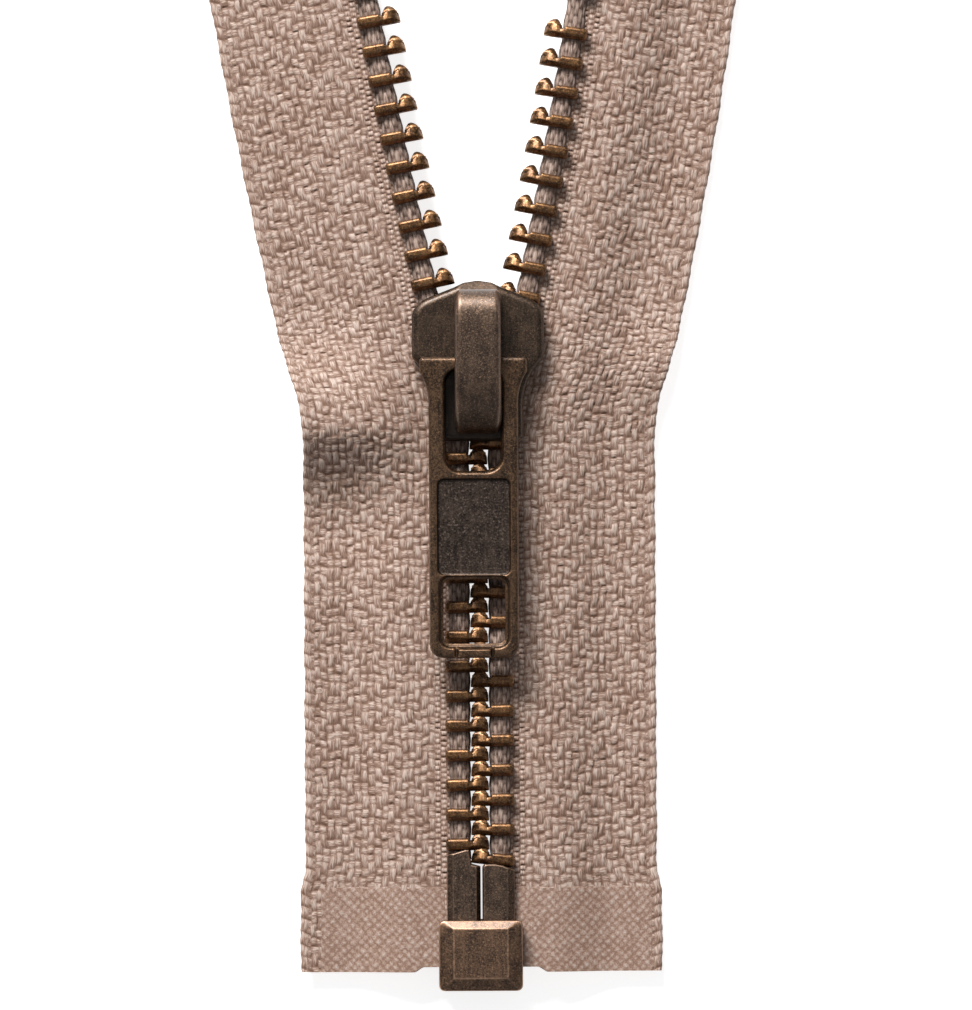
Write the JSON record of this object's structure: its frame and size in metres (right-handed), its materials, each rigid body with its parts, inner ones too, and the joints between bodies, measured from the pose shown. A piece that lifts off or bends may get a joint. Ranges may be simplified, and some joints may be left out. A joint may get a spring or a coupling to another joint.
{
  "type": "separating zipper",
  "caption": "Metal-toothed separating zipper with a box and pins, a locking slider with a framed pull, and woven tapes that part above the slider.",
  "frame": {"origin": "middle of the underside of the box", "axes": "+Y along the closed chain from the box to the open arms, +Z out of the front face, X across the tapes"},
  "size_m": [0.046, 0.0912, 0.0084],
  "materials": {
    "plated_metal": "antique bronze plating on zinc alloy, satin, worn on the edges",
    "teeth": "antique brass, dark in the recesses and polished on top",
    "spring_steel": "plain spring steel",
    "tape": "herringbone twill, matte",
    "cord": "woven cord, matte",
    "film": "thin clear reinforcing film"
  },
  "bodies": {
    "lower_ends": {"box": "plated_metal", "box_pin": "plated_metal", "insertion_pin": "plated_metal", "left_tape_end": "tape", "left_film": "film", "left_tooth_01": "teeth", "right_tape_end": "tape", "right_film": "film", "right_tooth_01": "teeth"},
    "slider": {"slider_body": "plated_metal", "bridge": "plated_metal"},
    "lever": {"locking_lever": "spring_steel"},
    "pull": {"pull": "plated_metal"},
    "left_middle": {"left_tape_middle": "tape", "left_cord_middle": "cord", "left_tooth_02": "teeth", "left_tooth_03": "teeth", "left_tooth_04": "teeth", "left_tooth_05": "teeth", "left_tooth_06": "teeth", "left_tooth_07": "teeth", "left_chain_under_pull": "teeth"},
    "left_upper": {"left_chain_in_slider": "teeth", "left_tape_upper": "tape", "left_cord_upper": "cord", "left_tooth_20": "teeth", "left_tooth_21": "teeth", "left_tooth_22": "teeth", "left_tooth_23": "teeth", "left_tooth_24": "teeth", "left_tooth_25": "teeth", "left_tooth_26": "teeth", "left_tooth_27": "teeth", "left_tooth_28": "teeth", "left_tooth_29": "teeth", "left_top_stop": "plated_metal"},
    "right_middle": {"right_tape_middle": "tape", "right_cord_middle": "cord", "right_tooth_02": "teeth", "right_tooth_03": "teeth", "right_tooth_04": "teeth", "right_tooth_05": "teeth", "right_tooth_06": "teeth", "right_tooth_07": "teeth", "right_chain_under_pull": "teeth"},
    "right_upper": {"right_chain_in_slider": "teeth", "right_tape_upper": "tape", "right_cord_upper": "cord", "right_tooth_20": "teeth", "right_tooth_21": "teeth", "right_tooth_22": "teeth", "right_tooth_23": "teeth", "right_tooth_24": "teeth", "right_tooth_25": "teeth", "right_tooth_26": "teeth", "right_tooth_27": "teeth", "right_tooth_28": "teeth", "right_tooth_29": "teeth", "right_top_stop": "plated_metal"}
  },
  "joints": [
    {"name": "slider_travel", "type": "slide", "parent": "lower_ends", "child": "slider", "axis": [0, 1, 0], "range_m": [-0.03707, 0], "deforming": ["left_tape_middle", "left_cord_middle", "left_tooth_02", "left_tooth_03", "left_tooth_04", "left_tooth_05", "left_tooth_06", "left_tooth_07", "left_chain_under_pull", "left_chain_in_slider", "right_tape_middle", "right_cord_middle", "right_tooth_02", "right_tooth_03", "right_tooth_04", "right_tooth_05", "right_tooth_06", "right_tooth_07", "right_chain_under_pull", "right_chain_in_slider"]},
    {"name": "pull_swing", "type": "hinge", "parent": "slider", "child": "pull", "pos_m": [-0.0004, 0.0493, 0.00575], "axis": [-1, 0, 0], "range_deg": [0, 178]},
    {"name": "lock_lift", "type": "slide", "parent": "slider", "child": "lever", "axis": [0, 0, 1], "range_m": [0, 0.0004], "stiffness_N_per_m": 300},
    {"name": "left_side_opens", "type": "hinge", "parent": "lower_ends", "child": "left_middle", "pos_m": [0, 0.00743, 0.00235], "axis": [0, 0, 1], "range_deg": [0, 13.4]},
    {"name": "left_arm_turns", "type": "hinge", "parent": "left_middle", "child": "left_upper", "pos_m": [0, 0.0445, 0.00235], "axis": [0, 0, 1], "range_deg": [-13.4, 0]},
    {"name": "right_side_opens", "type": "hinge", "parent": "lower_ends", "child": "right_middle", "pos_m": [0, 0.00743, 0.00235], "axis": [0, 0, 1], "range_deg": [-13.4, 0]},
    {"name": "right_arm_turns", "type": "hinge", "parent": "right_middle", "child": "right_upper", "pos_m": [0, 0.0445, 0.00235], "axis": [0, 0, 1], "range_deg": [0, 13.4]}
  ],
  "couplings": [
    {"joint": "left_side_opens", "follows": "slider_travel", "rad_per_m": -6.309},
    {"joint": "left_arm_turns", "follows": "slider_travel", "rad_per_m": 6.309},
    {"joint": "right_side_opens", "follows": "slider_travel", "rad_per_m": 6.309},
    {"joint": "right_arm_turns", "follows": "slider_travel", "rad_per_m": -6.309}
  ]
}
